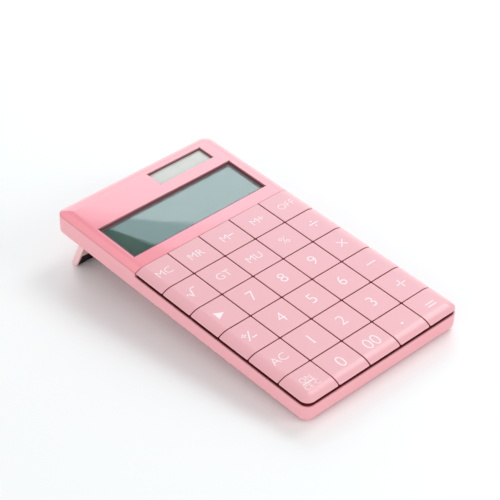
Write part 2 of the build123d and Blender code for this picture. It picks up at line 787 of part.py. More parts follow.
def make_parts():
    """Every node's solids, lying flat."""
    key_slab = rolled_slab(
        key_half_width, key_front_y, seam_y, key_edge_z, key_top_z, True, False
    )
    parts = {}
    for column, row in all_keys():
        parts["key_" + key_names[row][column]] = make_key(key_slab, column, row)
    parts["base_casing"] = make_base()
    parts["key_deck"] = make_deck()
    parts["keypad_membrane"] = make_membrane()
    parts["circuit_board"] = make_board()
    parts["processor_resin"] = make_processor()
    parts["small_components"] = make_chips()
    parts["display_bezel"] = make_bezel()
    parts["display_gasket"] = frame_block(
        window_outline(window_lap), window_outline(-gasket_reveal), window_top_z, bezel_inner_z,
        window_corner_radius,
    )
    parts["display_window"] = block(*window_outline(window_lap), lcd_top_z, window_top_z)
    parts["lcd_glass"] = block(*window_outline(window_lap), lcd_bottom_z, lcd_top_z)
    parts["lcd_reflector"] = make_reflector()
    parts["lcd_ribbon"] = make_ribbon()
    parts["solar_gasket"] = frame_block(
        solar_outline(solar_lap), solar_outline(-gasket_reveal), window_top_z, bezel_inner_z,
        window_corner_radius,
    )
    parts["solar_cell"] = block(*solar_outline(solar_lap), solar_bottom_z, window_top_z)
    parts["solar_wires"] = make_wires()
    parts["display_carrier"] = make_carrier()
    parts["button_cell"] = make_cell()
    parts["cell_contact_negative"], parts["cell_contact_positive"] = make_contacts()
    parts["battery_door"] = make_door()
    parts["casing_screws"] = make_casing_screws()
    parts["board_screws"] = make_small_screws(
        board_screw_points, board_bottom_z, board_top_z + small_thread_length - joint_clearance
    )
    parts["bezel_screws"] = make_small_screws(
        bezel_screw_points, deck_bottom_z, deck_top_z + small_thread_length - joint_clearance
    )
    parts["carrier_screws"] = make_small_screws(
        carrier_screw_points, carrier_bottom_z, carrier_top_z + small_thread_length - joint_clearance
    )
    parts["front_feet"] = [post(x, y, foot_radius, -foot_proud, foot_socket) for x, y in foot_points]
    parts["stand"], parts["stand_foot_strip"], parts["stand_hinge_pins"] = make_stand_pieces()
    return parts


def as_compound(solids):
    return Compound(children=list(solids)) if isinstance(solids, list) else solids


flat_parts = {name: as_compound(solids) for name, solids in make_parts().items()}
tilted = Rot(tilt, 0, 0)
boxes = [(tilted * solid).bounding_box() for solid in flat_parts.values()]
middle_y = (min(box.min.Y for box in boxes) + max(box.max.Y for box in boxes)) / 2
lowest_z = min(box.min.Z for box in boxes)
standing = Pos(0, -middle_y, -lowest_z) * tilted

os.makedirs("parts", exist_ok=True)
for name, solid in flat_parts.items():
    export_step(standing * solid, f"parts/{name}.step")
print(f"{len(flat_parts)} nodes, tilt {tilt:.3f} degrees, moved by {-middle_y:.3f}, {-lowest_z:.3f}")
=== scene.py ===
import bpy
import bmesh
import json
import math
from mathutils import Matrix, Vector


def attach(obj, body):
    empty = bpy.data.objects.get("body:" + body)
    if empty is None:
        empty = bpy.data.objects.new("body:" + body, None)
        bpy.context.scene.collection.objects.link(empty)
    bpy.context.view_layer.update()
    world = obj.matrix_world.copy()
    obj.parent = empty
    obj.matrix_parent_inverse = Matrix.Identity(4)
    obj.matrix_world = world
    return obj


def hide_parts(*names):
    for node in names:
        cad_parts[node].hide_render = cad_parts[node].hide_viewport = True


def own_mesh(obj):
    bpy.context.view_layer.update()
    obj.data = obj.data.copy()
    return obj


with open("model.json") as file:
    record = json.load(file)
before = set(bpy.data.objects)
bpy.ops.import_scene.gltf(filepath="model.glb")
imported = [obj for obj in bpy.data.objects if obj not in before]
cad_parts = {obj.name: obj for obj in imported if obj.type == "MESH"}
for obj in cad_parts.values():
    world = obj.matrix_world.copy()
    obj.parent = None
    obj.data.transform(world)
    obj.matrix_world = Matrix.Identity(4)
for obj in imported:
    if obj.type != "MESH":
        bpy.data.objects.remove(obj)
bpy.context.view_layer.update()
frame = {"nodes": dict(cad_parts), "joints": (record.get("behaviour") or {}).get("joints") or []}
nodes = frame["nodes"]
joints = {joint["name"]: joint for joint in frame["joints"]}
print("frame loaded:", len(nodes), "nodes")

# The calculator is modelled lying flat, in millimetres, then carried onto its open stand
doorSpot = Vector((0.024, 0.0084, 0))  # the battery door's centre on the flat body, metres
pressWay = Vector(joints["key_seven_press"]["axis"])
leanAngle = math.atan2(pressWay.y, -pressWay.z)
doorPlace = Vector(joints["battery_door_turn"]["pos_m"])
flatToStanding = Matrix.Translation(doorPlace) @ Matrix.Rotation(leanAngle, 4, "X") @ Matrix.Translation(-doorSpot)
standingToFlat = Matrix.Scale(1000, 4) @ flatToStanding.inverted()
millimetresToStanding = flatToStanding @ Matrix.Scale(0.001, 4)


def flatBox(node):
    points = [standingToFlat @ vertex.co for vertex in nodes[node].data.vertices]
    low = Vector([min(point[axis] for point in points) for axis in range(3)])
    high = Vector([max(point[axis] for point in points) for axis in range(3)])
    return low, high


keyNames = [name for name in nodes if name.startswith("key_") and name != "key_deck"]
keyBoxes = {name: flatBox(name) for name in keyNames}


# the camera stands low in front, to the left of the calculator
cameraView = {
    "place": (-0.42948, -0.49546, 0.49299),
    "turn": (54.4845, 2.3291, -42.5494),  # degrees
    "lens": 122.507,
}
cameraData = bpy.data.cameras.new("deskCamera")
cameraData.lens = cameraView["lens"]
cameraData.sensor_width = 36
cameraData.clip_start = 0.01
cameraData.clip_end = 20
cameraPiece = bpy.data.objects.new("deskCamera", cameraData)
cameraPiece.location = cameraView["place"]
cameraPiece.rotation_euler = [math.radians(angle) for angle in cameraView["turn"]]
bpy.context.scene.collection.objects.link(cameraPiece)
bpy.context.scene.camera = cameraPiece
print("camera placed")


# shader effects that several materials share
def link(tree, fromNode, fromSocket, toNode, toSocket):
    tree.links.new(fromNode.outputs[fromSocket], toNode.inputs[toSocket])


def newGroup(name, inputs, outputs):
    group = bpy.data.node_groups.new(name, "ShaderNodeTree")
    for socketName, kind in inputs:
        group.interface.new_socket(socketName, in_out="INPUT", socket_type="NodeSocket" + kind)
    for socketName, kind in outputs:
        group.interface.new_socket(socketName, in_out="OUTPUT", socket_type="NodeSocket" + kind)
    return group, group.nodes.new("NodeGroupInput"), group.nodes.new("NodeGroupOutput")


def makeGrainGroup():
    # moulded plastic: soft clouds in the colour and the gloss, fine grain in the height
    group, start, end = newGroup(
        "mouldedGrain",
        [("Vector", "Vector"), ("Color", "Color"), ("Cloud Color", "Color"), ("Cloud Scale", "Float"),
         ("Cloud Amount", "Float"), ("Grain Scale", "Float"), ("Roughness", "Float"), ("Spread", "Float")],
        [("Color", "Color"), ("Roughness", "Float"), ("Height", "Float")],
    )
    cloud = group.nodes.new("ShaderNodeTexNoise")
    cloud.inputs["Detail"].default_value = 3
    link(group, start, "Vector", cloud, "Vector")
    link(group, start, "Cloud Scale", cloud, "Scale")
    share = group.nodes.new("ShaderNodeMath")
    share.operation = "MULTIPLY"
    link(group, cloud, "Fac", share, 0)
    link(group, start, "Cloud Amount", share, 1)
    colour = group.nodes.new("ShaderNodeMix")
    colour.data_type = "RGBA"
    link(group, share, 0, colour, 0)
    link(group, start, "Color", colour, 6)
    link(group, start, "Cloud Color", colour, 7)
    link(group, colour, 2, end, "Color")
    grain = group.nodes.new("ShaderNodeTexNoise")
    grain.inputs["Detail"].default_value = 2
    link(group, start, "Vector", grain, "Vector")
    link(group, start, "Grain Scale", grain, "Scale")
    centred = group.nodes.new("ShaderNodeMath")
    centred.operation = "SUBTRACT"
    centred.inputs[1].default_value = 0.5
    link(group, cloud, "Fac", centred, 0)
    gloss = group.nodes.new("ShaderNodeMath")
    gloss.operation = "MULTIPLY_ADD"
    link(group, centred, 0, gloss, 0)
    link(group, start, "Spread", gloss, 1)
    link(group, start, "Roughness", gloss, 2)
    link(group, gloss, 0, end, "Roughness")
    link(group, grain, "Fac", end, "Height")
    return group


def makeWearAndHighlightGroup():
    # handling wear together with a painted highlight: the rounded edges are a little paler in patches
    group, start, end = newGroup(
        "edgeWearAndHighlight", [("Vector", "Vector"), ("Scale", "Float"), ("Amount", "Float")], [("Mask", "Float")]
    )
    edge = group.nodes.new("ShaderNodeAttribute")
    edge.attribute_name = "edge"
    patches = group.nodes.new("ShaderNodeTexNoise")
    patches.inputs["Detail"].default_value = 4
    link(group, start, "Vector", patches, "Vector")
    link(group, start, "Scale", patches, "Scale")
    broken = group.nodes.new("ShaderNodeMapRange")
    broken.inputs["From Min"].default_value = 0.35
    broken.inputs["From Max"].default_value = 0.7
    link(group, patches, "Fac", broken, "Value")
    onEdge = group.nodes.new("ShaderNodeMath")
    onEdge.operation = "MULTIPLY"
    link(group, edge, "Fac", onEdge, 0)
    link(group, broken, "Result", onEdge, 1)
    scaled = group.nodes.new("ShaderNodeMath")
    scaled.operation = "MULTIPLY"
    link(group, onEdge, 0, scaled, 0)
    link(group, start, "Amount", scaled, 1)
    link(group, scaled, 0, end, "Mask")
    return group


def makeDustGroup():
    # sparse fine specks
    group, start, end = newGroup(
        "dustSpecks", [("Vector", "Vector"), ("Scale", "Float"), ("Amount", "Float")], [("Mask", "Float")]
    )
    specks = group.nodes.new("ShaderNodeTexNoise")
    specks.inputs["Detail"].default_value = 1
    link(group, start, "Vector", specks, "Vector")
    link(group, start, "Scale", specks, "Scale")
    sparse = group.nodes.new("ShaderNodeMapRange")
    sparse.inputs["From Min"].default_value = 0.72
    sparse.inputs["From Max"].default_value = 0.8
    link(group, specks, "Fac", sparse, "Value")
    scaled = group.nodes.new("ShaderNodeMath")
    scaled.operation = "MULTIPLY"
    link(group, sparse, "Result", scaled, 0)
    link(group, start, "Amount", scaled, 1)
    link(group, scaled, 0, end, "Mask")
    return group


def makeGapShadeGroup():
    # painted shade on the walls between keys, darker further down
    group, start, end = newGroup(
        "gapPaintedShade", [("Vector", "Vector"), ("Scale", "Float"), ("Amount", "Float")], [("Mask", "Float")]
    )
    depth = group.nodes.new("ShaderNodeAttribute")
    depth.attribute_name = "gap"
    patches = group.nodes.new("ShaderNodeTexNoise")
    patches.inputs["Detail"].default_value = 3
    link(group, start, "Vector", patches, "Vector")
    link(group, start, "Scale", patches, "Scale")
    uneven = group.nodes.new("ShaderNodeMath")
    uneven.operation = "MULTIPLY_ADD"
    uneven.inputs[1].default_value = 0.1
    link(group, patches, "Fac", uneven, 0)
    link(group, depth, "Fac", uneven, 2)
    ramp = group.nodes.new("ShaderNodeMapRange")
    ramp.inputs["From Min"].default_value = 0.13
    ramp.inputs["From Max"].default_value = 0.3
    link(group, uneven, 0, ramp, "Value")
    scaled = group.nodes.new("ShaderNodeMath")
    scaled.operation = "MULTIPLY"
    link(group, ramp, "Result", scaled, 0)
    link(group, start, "Amount", scaled, 1)
    link(group, scaled, 0, end, "Mask")
    return group


grainGroup = makeGrainGroup()
wearAndHighlightGroup = makeWearAndHighlightGroup()
dustGroup = makeDustGroup()
gapShadeGroup = makeGapShadeGroup()

plainLook = {
    "color": (0.5, 0.5, 0.5), "cloudColor": (0.4, 0.4, 0.4), "cloudScale": 60, "cloudAmount": 0.5,
    "grainScale": 4000, "grainDepth": 0.00001, "grainStrength": 0.3, "roughness": 0.4, "spread": 0.15,
    "wearColor": (0.8, 0.8, 0.8), "wearAmount": 0.0, "dustAmount": 0.0, "grimeAmount": 0.0,
    "stretch": (1, 1, 1), "metallic": 0.0, "coat": 0.0, "coatRoughness": 0.1, "coatIor": 1.5, "specular": 0.5,
    "subsurface": 0.0,
}


surfaceMarks = {
    # the edge colour is wear together with a painted highlight
    "wearAndHighlightScale": 700, "dustScale": 2600, "dustColor": (0.8, 0.78, 0.76), "gapShadeScale": 500,
    # the gap colour is painted shade for the walls between keys
    "gapShadeColor": (0.34, 0.04, 0.06),
}


def makeMaterial(name, **changes):
    look = dict(plainLook, **changes)
    material = bpy.data.materials.new(name)
    material.use_nodes = True
    tree = material.node_tree
    shader = tree.nodes["Principled BSDF"]
    shader.inputs["Metallic"].default_value = look["metallic"]
    shader.inputs["Coat Weight"].default_value = look["coat"]
    shader.inputs["Coat Roughness"].default_value = look["coatRoughness"]
    shader.inputs["Coat IOR"].default_value = look["coatIor"]
    shader.inputs["Specular IOR Level"].default_value = look["specular"]
    if look["subsurface"]:
        shader.inputs["Subsurface Weight"].default_value = look["subsurface"]
        shader.inputs["Subsurface Scale"].default_value = 0.001
    place = tree.nodes.new("ShaderNodeTexCoord")
    turned = tree.nodes.new("ShaderNodeMapping")
    turned.inputs["Scale"].default_value = look["stretch"]
    link(tree, place, "Object", turned, "Vector")
    grain = tree.nodes.new("ShaderNodeGroup")
    grain.node_tree = grainGroup
    link(tree, turned, "Vector", grain, "Vector")
    grain.inputs["Color"].default_value = (*look["color"], 1)
    grain.inputs["Cloud Color"].default_value = (*look["cloudColor"], 1)
    grain.inputs["Cloud Scale"].default_value = look["cloudScale"]
    grain.inputs["Cloud Amount"].default_value = look["cloudAmount"]
    grain.inputs["Grain Scale"].default_value = look["grainScale"]
    grain.inputs["Roughness"].default_value = look["roughness"]
    grain.inputs["Spread"].default_value = look["spread"]
    colour, colourSocket = grain, "Color"
    for effect, amount, paint, scale in (
        # paler rounded edges: wear with a painted highlight
        (wearAndHighlightGroup, look["wearAmount"], look["wearColor"], surfaceMarks["wearAndHighlightScale"]),
        (dustGroup, look["dustAmount"], surfaceMarks["dustColor"], surfaceMarks["dustScale"]),
        # painted shade on the walls between keys
        (gapShadeGroup, look["grimeAmount"], surfaceMarks["gapShadeColor"], surfaceMarks["gapShadeScale"]),
    ):
        if not amount:
            continue
        mask = tree.nodes.new("ShaderNodeGroup")
        mask.node_tree = effect
        mask.inputs["Scale"].default_value = scale
        mask.inputs["Amount"].default_value = amount
        link(tree, place, "Object", mask, "Vector")
        mix = tree.nodes.new("ShaderNodeMix")
        mix.data_type = "RGBA"
        mix.inputs[7].default_value = (*paint, 1)
        link(tree, mask, "Mask", mix, 0)
        link(tree, colour, colourSocket, mix, 6)
        colour, colourSocket = mix, 2
    link(tree, colour, colourSocket, shader, "Base Color")
    link(tree, grain, "Roughness", shader, "Roughness")
    bump = tree.nodes.new("ShaderNodeBump")
    bump.inputs["Strength"].default_value = look["grainStrength"]
    bump.inputs["Distance"].default_value = look["grainDepth"]
    link(tree, grain, "Height", bump, "Height")
    link(tree, bump, "Normal", shader, "Normal")
    return material


# key caps: painted shade on the walls between keys, darker further down
keyPink = makeMaterial(
    "keyPink", color=(0.83, 0.425, 0.47), cloudColor=(0.79, 0.385, 0.43), cloudScale=35, cloudAmount=0.5,
    grainScale=5200, grainDepth=0.00002, grainStrength=0.35, roughness=0.36, spread=0.12,
    # paler rounded edges: wear with a painted highlight
    wearColor=(0.95, 0.62, 0.66), wearAmount=0.45, dustAmount=0.10, grimeAmount=0.85, coat=0.6,
    coatRoughness=0.23,
)
# the panel's rounded edges are paler: wear with a painted highlight
panelPink = makeMaterial(
    "panelPink", color=(0.95, 0.33, 0.39), cloudColor=(0.91, 0.295, 0.355), cloudScale=25, cloudAmount=0.5,
    grainScale=3000, grainDepth=0.000006, grainStrength=0.2, roughness=0.16, spread=0.05,
    wearColor=(0.95, 0.6, 0.64), wearAmount=0.3, dustAmount=0.12, coat=1.0, coatRoughness=0.04,
)
casingPink = makeMaterial(
    "casingPink", color=(0.90, 0.43, 0.475), cloudColor=(0.86, 0.39, 0.44), cloudScale=30, cloudAmount=0.6,
    grainScale=3600, grainDepth=0.00003, grainStrength=0.45, roughness=0.42, spread=0.14,
    wearColor=(0.94, 0.6, 0.64), wearAmount=0.3, dustAmount=0.08,
)
standPink = makeMaterial(
    "standPink", color=(0.93, 0.60, 0.61), cloudColor=(0.89, 0.55, 0.565), cloudScale=40, cloudAmount=0.6,
    grainScale=3600, grainDepth=0.00003, grainStrength=0.45, roughness=0.4, spread=0.14, dustAmount=0.08,
)
deckMaroon = makeMaterial(
    "deckMaroon", color=(0.17, 0.014, 0.02), cloudColor=(0.13, 0.01, 0.015), cloudScale=50,
    grainScale=4200, grainDepth=0.00003, grainStrength=0.5, roughness=0.6, spread=0.1, dustAmount=0.05,
)
legendWhite = makeMaterial(
    "legendWhite", color=(0.93, 0.84, 0.87), cloudColor=(0.9, 0.78, 0.82), cloudScale=400, cloudAmount=0.7,
    grainScale=9000, grainDepth=0.00001, roughness=0.45, spread=0.1,
)
carrierBlack = makeMaterial(
    "carrierBlack", color=(0.03, 0.03, 0.034), cloudColor=(0.02, 0.02, 0.022), cloudScale=50,
    grainScale=3800, grainDepth=0.00003, grainStrength=0.5, roughness=0.55,
)
siliconeGrey = makeMaterial(
    "siliconeGrey", color=(0.62, 0.62, 0.6), cloudColor=(0.54, 0.54, 0.52), cloudScale=80,
    grainScale=2600, grainDepth=0.00002, roughness=0.6, subsurface=0.3,
)
boardGreen = makeMaterial(
    "boardGreen", color=(0.02, 0.16, 0.06), cloudColor=(0.03, 0.22, 0.09), cloudScale=260, cloudAmount=0.8,
    grainScale=2400, grainDepth=0.00002, roughness=0.32, coat=0.4,
)
resinBlack = makeMaterial(
    "resinBlack", color=(0.012, 0.012, 0.012), cloudColor=(0.02, 0.02, 0.02), cloudScale=120,
    grainScale=2200, roughness=0.25, coat=0.3,
)
# dark maroon painted on the walls of the display and solar openings as their shade
openingShade = makeMaterial(
    "openingShade", color=(0.42, 0.20, 0.22), cloudColor=(0.36, 0.17, 0.19), cloudScale=80,
    grainScale=4200, grainDepth=0.00002, roughness=0.45, spread=0.1,
)
borderDark = makeMaterial(
    "borderDark", color=(0.15, 0.06, 0.07), cloudColor=(0.12, 0.045, 0.055), cloudScale=300,
    grainScale=6000, grainDepth=0.000004, roughness=0.4, coat=0.6, coatRoughness=0.08,
)
foamBlack = makeMaterial(
    "foamBlack", color=(0.12, 0.05, 0.06), cloudColor=(0.15, 0.065, 0.075), cloudScale=900,
    cloudAmount=0.8, grainScale=3000, grainDepth=0.00008, grainStrength=0.8, roughness=0.9, spread=0.1,
)
filmAmber = makeMaterial(
    "filmAmber", color=(0.6, 0.32, 0.07), cloudColor=(0.5, 0.24, 0.05), cloudScale=200, stretch=(6, 1, 1),
    grainScale=1800, roughness=0.3, coat=0.3,
)
wireRed = makeMaterial(
    "wireRed", color=(0.5, 0.02, 0.02), cloudColor=(0.4, 0.015, 0.015), cloudScale=300, roughness=0.4,
)
rubberBlack = makeMaterial(
    "rubberBlack", color=(0.016, 0.005, 0.006), cloudColor=(0.026, 0.011, 0.012), cloudScale=220,
    cloudAmount=0.7, grainScale=3000, grainDepth=0.00006, grainStrength=0.7, roughness=0.8, dustAmount=0.05,
    specular=0.25,
)
foilSilver = makeMaterial(
    "foilSilver", color=(0.72, 0.74, 0.73), cloudColor=(0.62, 0.64, 0.63), metallic=1.0, roughness=0.35,
    stretch=(1, 12, 1), grainScale=1500,
)
steelBright = makeMaterial(
    "steelBright", color=(0.62, 0.62, 0.62), cloudColor=(0.5, 0.5, 0.5), metallic=1.0, roughness=0.3,
    cloudScale=500, stretch=(14, 1, 1), grainScale=2500, grainDepth=0.00001,
)
nickelBright = makeMaterial(
    "nickelBright", color=(0.72, 0.69, 0.6), cloudColor=(0.6, 0.57, 0.5), metallic=1.0, roughness=0.22,
    cloudScale=400, grainScale=2000,
)
lcdGreen = makeMaterial(
    "lcdGreen", color=(0.07, 0.125, 0.10), cloudColor=(0.058, 0.107, 0.085), cloudScale=30, cloudAmount=0.7,
    grainScale=6000, grainDepth=0.000002, grainStrength=0.04, roughness=0.3, spread=0.1, coat=1.0,
    coatRoughness=0.02, coatIor=1.68, specular=0.08,
)
solarGlass = makeMaterial(
    "solarGlass", color=(0.62, 0.62, 0.57), cloudColor=(0.52, 0.53, 0.49), cloudScale=90, cloudAmount=0.7,
    stretch=(1, 4, 1), grainScale=3000, grainDepth=0.000004, roughness=0.22, coat=0.5, coatRoughness=0.08,
)
solarLine = makeMaterial(
    "solarLine", color=(0.50, 0.49, 0.45), cloudColor=(0.44, 0.43, 0.39), cloudScale=200, roughness=0.3,
)
cellSteel = makeMaterial(
    "cellSteel", color=(0.7, 0.7, 0.7), cloudColor=(0.6, 0.6, 0.6), metallic=1.0, roughness=0.28,
    cloudScale=300, grainScale=2600,
)


def makeWindowMaterial():
    # clear acrylic that lets the lamps through to the display below
    material = makeMaterial(
        "windowClear", color=(0.93, 0.96, 0.96), cloudColor=(0.9, 0.94, 0.94), cloudScale=40,
        grainScale=1200, grainDepth=0.000002, grainStrength=0.04, roughness=0.015, spread=0.01,
    )
    tree = material.node_tree
    shader = tree.nodes["Principled BSDF"]
    shader.inputs["Transmission Weight"].default_value = 1.0
    shader.inputs["IOR"].default_value = 1.45
    clear = tree.nodes.new("ShaderNodeBsdfTransparent")
    clear.inputs["Color"].default_value = (0.9, 0.93, 0.93, 1)
    ray = tree.nodes.new("ShaderNodeLightPath")
    both = tree.nodes.new("ShaderNodeMixShader")
    link(tree, ray, "Is Shadow Ray", both, 0)
    tree.links.new(shader.outputs[0], both.inputs[1])
    tree.links.new(clear.outputs[0], both.inputs[2])
    tree.links.new(both.outputs[0], tree.nodes["Material Output"].inputs["Surface"])
    return material


windowClear = makeWindowMaterial()
print("materials made:", len(bpy.data.materials))


near = 0.01  # millimetres within which two places count as the same
# where the paler wear and painted highlight start and stop on a rounded edge
edgeMark = {"shallow": 0.02, "share": 0.95, "above": 0.05}


def addBox(bm, low, high):
    made = bmesh.ops.create_cube(bm, size=1.0)["verts"]
    low, high = Vector(low), Vector(high)
    bmesh.ops.scale(bm, vec=high - low, verts=made)
    bmesh.ops.translate(bm, vec=(low + high) / 2, verts=made)
    return made


def cutAt(bm, axis, place):
    point, normal = Vector((0, 0, 0)), Vector((0, 0, 0))
    point[axis] = place
    normal[axis] = 1
    everything = bm.verts[:] + bm.edges[:] + bm.faces[:]
    bmesh.ops.bisect_plane(bm, geom=everything, plane_co=point, plane_no=normal, dist=0.0001)


def roundEdges(bm, edges, size, segments):
    return bmesh.ops.bevel(
        bm, geom=edges, offset=size, offset_type="OFFSET", segments=segments, profile=0.5,
        affect="EDGES", clamp_overlap=True, material=-1,
    )


def standingEdges(bm, test):
    # edges that run straight up, picked by where they stand
    found = []
    for edge in bm.edges:
        start, end = edge.verts[0].co, edge.verts[1].co
        if abs(start.x - end.x) < 0.001 and abs(start.y - end.y) < 0.001 and test(start):
            found.append(edge)
    return found


def topEdges(bm, test):
    # edges between a surface that looks up and a wall
    found = []
    for edge in bm.edges:
        if len(edge.link_faces) != 2:
            continue
        up = sorted(face.normal.z for face in edge.link_faces)
        if up[1] > 0.55 and abs(up[0]) < 0.3 and test((edge.verts[0].co + edge.verts[1].co) / 2):
            found.append(edge)
    return found


def markPlaces(bm, name, mark):
    layer = bm.verts.layers.float.new(name)
    for vertex in bm.verts:
        vertex[layer] = mark(vertex.co)


def finishPiece(bm, name, body, materials, stands=(), smoothAngle=38):
    bmesh.ops.dissolve_degenerate(bm, dist=0.0005, edges=bm.edges[:])
    bm.transform(millimetresToStanding)
    mesh = bpy.data.meshes.new(name)
    bm.to_mesh(mesh)
    bm.free()
    for material in materials:
        mesh.materials.append(material)
    mesh.shade_smooth()
    mesh.set_sharp_from_angle(angle=math.radians(smoothAngle))
    piece = bpy.data.objects.new(name, mesh)
    bpy.context.scene.collection.objects.link(piece)
    weighted = piece.modifiers.new("evenShading", "WEIGHTED_NORMAL")
    weighted.keep_sharp = True
    weighted.weight = 100
    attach(piece, body)
    if stands:
        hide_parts(*stands)
    return piece


def rollFall(inside, roll):
    # how far the surface has fallen at this distance inside the rolled edge
    if inside >= roll["width"]:
        return 0.0
    radius = (roll["width"] ** 2 + roll["fall"] ** 2) / (2 * roll["fall"])
    return radius - math.sqrt(radius ** 2 - (roll["width"] - max(inside, 0)) ** 2)


def insideSlab(x, y, roll):
    # distance inside the slab's outline, which is rounded at the rolled end's corners
    fromSide = roll["halfWidth"] - abs(x)
    fromEnd = (y - roll["endY"]) * roll["inward"]
    corner = roll["corner"]
    if fromSide < corner and fromEnd < corner:
        return corner - math.hypot(corner - fromSide, corner - fromEnd)
    return min(fromSide, fromEnd)


def lowerOntoRoll(bm, topZ, roll):
    for vertex in bm.verts:
        if vertex.co.z > topZ - near:
            vertex.co.z = topZ - rollFall(insideSlab(vertex.co.x, vertex.co.y, roll), roll)


def stripCuts(bm, roll, left, right, end):
    step = roll["width"] / roll["strips"]
    for index in range(1, roll["strips"] + 1):
        away = index * step
        if left:
            cutAt(bm, 0, -roll["halfWidth"] + away)
        if right:
            cutAt(bm, 0, roll["halfWidth"] - away)
        if end:
            cutAt(bm, 1, roll["endY"] + away * roll["inward"])


keyCap = {
    "wall": 1.2,
    "rolledWall": 3.6,
    "topWall": 1.2,
    "edgeZ": 11.4,
    "cornerRadius": 0.5,
    "cornerSteps": 4,
    "lip": 0.17,
    "lipSteps": 3,
    "overlap": 0.1,
    "draft": 0.04,
    "stem": (5.0, 3.2),
    "hook": (6.0, 1.6, 0.6),
}
keyRoll = {
    "width": 5.6, "fall": 1.8, "strips": 8, "corner": 4.5, "inward": 1,
    "cornerTrim": 0.15, "cornerSteps": 9,
    "halfWidth": max(high.x for low, high in keyBoxes.values()),
    "endY": min(low.y for low, high in keyBoxes.values()),
}
keyTopZ = max(high.z for low, high in keyBoxes.values())


def makeKeyCap(name):
    low, high = keyBoxes[name]
    onLeft = low.x < -keyRoll["halfWidth"] + near
    onRight = high.x > keyRoll["halfWidth"] - near
    onFront = low.y < keyRoll["endY"] + near
    # the walls beside other keys, and the front row's edge, stand a little inside the key's box
    low, high = low.copy(), high.copy()
    low.x += 0 if onLeft else keyCap["draft"]
    high.x -= 0 if onRight else keyCap["draft"]
    low.y += keyCap["draft"]
    high.y -= keyCap["draft"]
    edgeZ = keyCap["edgeZ"]
    bm = bmesh.new()
    addBox(bm, (low.x, low.y, edgeZ), (high.x, high.y, keyTopZ))

    def bigCorner(place):
        side = (onLeft and place.x < low.x + near) or (onRight and place.x > high.x - near)
        return side and onFront and place.y < low.y + near

    bigRadius = keyRoll["corner"] - keyRoll["cornerTrim"]
    roundEdges(bm, standingEdges(bm, bigCorner), bigRadius, keyRoll["cornerSteps"])

    def smallCorner(place):
        nearX = min(abs(place.x - low.x), abs(place.x - high.x)) < near
        nearY = min(abs(place.y - low.y), abs(place.y - high.y)) < near
        return nearX and nearY

    roundEdges(bm, standingEdges(bm, smallCorner), keyCap["cornerRadius"], keyCap["cornerSteps"])
    stripCuts(bm, keyRoll, onLeft, onRight, onFront)
    lowerOntoRoll(bm, keyTopZ, keyRoll)
    bm.normal_update()
    roundEdges(bm, topEdges(bm, lambda place: True), keyCap["lip"], keyCap["lipSteps"])
    # hollow underside
    bm.normal_update()
    under = [
        face for face in bm.faces
        if face.normal.z < -0.9 and face.calc_center_median().z < edgeZ + near
    ]
    bmesh.ops.inset_region(bm, faces=under, thickness=keyCap["wall"], use_even_offset=True)
    pocketLow = (
        low.x + keyCap["rolledWall"] if onLeft else low.x,
        low.y + keyCap["rolledWall"] if onFront else low.y,
    )
    pocketHighX = high.x - keyCap["rolledWall"] if onRight else high.x
    inner = {vertex for face in under for vertex in face.verts}
    for vertex in inner:
        vertex.co.x = min(max(vertex.co.x, pocketLow[0]), pocketHighX)
        vertex.co.y = max(vertex.co.y, pocketLow[1])
    raised = bmesh.ops.extrude_face_region(bm, geom=under)
    bmesh.ops.delete(bm, geom=[face for face in under if face.is_valid], context="FACES")
    lifted = [part for part in raised["geom"] if isinstance(part, bmesh.types.BMVert)]
    bmesh.ops.translate(bm, vec=(0, 0, keyTopZ - keyCap["topWall"] - edgeZ), verts=lifted)
    bmesh.ops.remove_doubles(bm, verts=bm.verts[:], dist=0.002)
    # stem and the two hooks that hold it under the deck
    centre = (low + high) / 2
    stemWide, stemDeep = keyCap["stem"]
    addBox(
        bm, (centre.x - stemWide / 2, centre.y - stemDeep / 2, low.z),
        (centre.x + stemWide / 2, centre.y + stemDeep / 2, keyTopZ - keyCap["topWall"] + keyCap["overlap"]),
    )
    hookWide, hookDeep, hookTall = keyCap["hook"]
    addBox(
        bm, (centre.x - hookWide / 2, centre.y - hookDeep / 2, low.z),
        (centre.x + hookWide / 2, centre.y + hookDeep / 2, low.z + hookTall),
    )
    bmesh.ops.recalc_face_normals(bm, faces=bm.faces[:])

    def depthAt(place):
        return keyTopZ - rollFall(insideSlab(place.x, place.y, keyRoll), keyRoll) - place.z

    def onLip(place):
        shallow = edgeMark["shallow"] < depthAt(place) < keyCap["lip"] * edgeMark["share"]
        return 1.0 if shallow and place.z > edgeZ + edgeMark["above"] else 0.0

    # the rounded lip takes the paler wear and painted highlight
    markPlaces(bm, "edge", onLip)
    # depth below the key top, which sets the painted shade on the walls between keys
    markPlaces(bm, "gap", lambda place: min(max(depthAt(place) / keyRoll["fall"], 0), 1))
    return finishPiece(bm, "cap_" + name[4:], name, [keyPink], [name])


for name in keyNames:
    makeKeyCap(name)
print("key caps made:", len(keyNames))


legendInk = {
    "proud": 0.03, "depth": 0.06, "stroke": 0.62, "letterThin": -0.012, "dotSides": 20,
    "arrow": (4.6, 5.0),
}
legendText = {
    "memory_clear": ("MC", 4.3), "memory_recall": ("MR", 4.3), "off": ("OFF", 4.0),
    "grand_total": ("GT", 4.4), "mark_up": ("MU", 4.3), "percent": ("%", 5.0),
    "seven": ("7", 6.2), "eight": ("8", 6.2), "nine": ("9", 6.2),
    "four": ("4", 6.2), "five": ("5", 6.2), "six": ("6", 6.2), "all_clear": ("AC", 4.6), "one": ("1", 6.2),
    "two": ("2", 6.2), "three": ("3", 6.2), "zero": ("0", 6.4), "double_zero": ("00", 6.4),
}
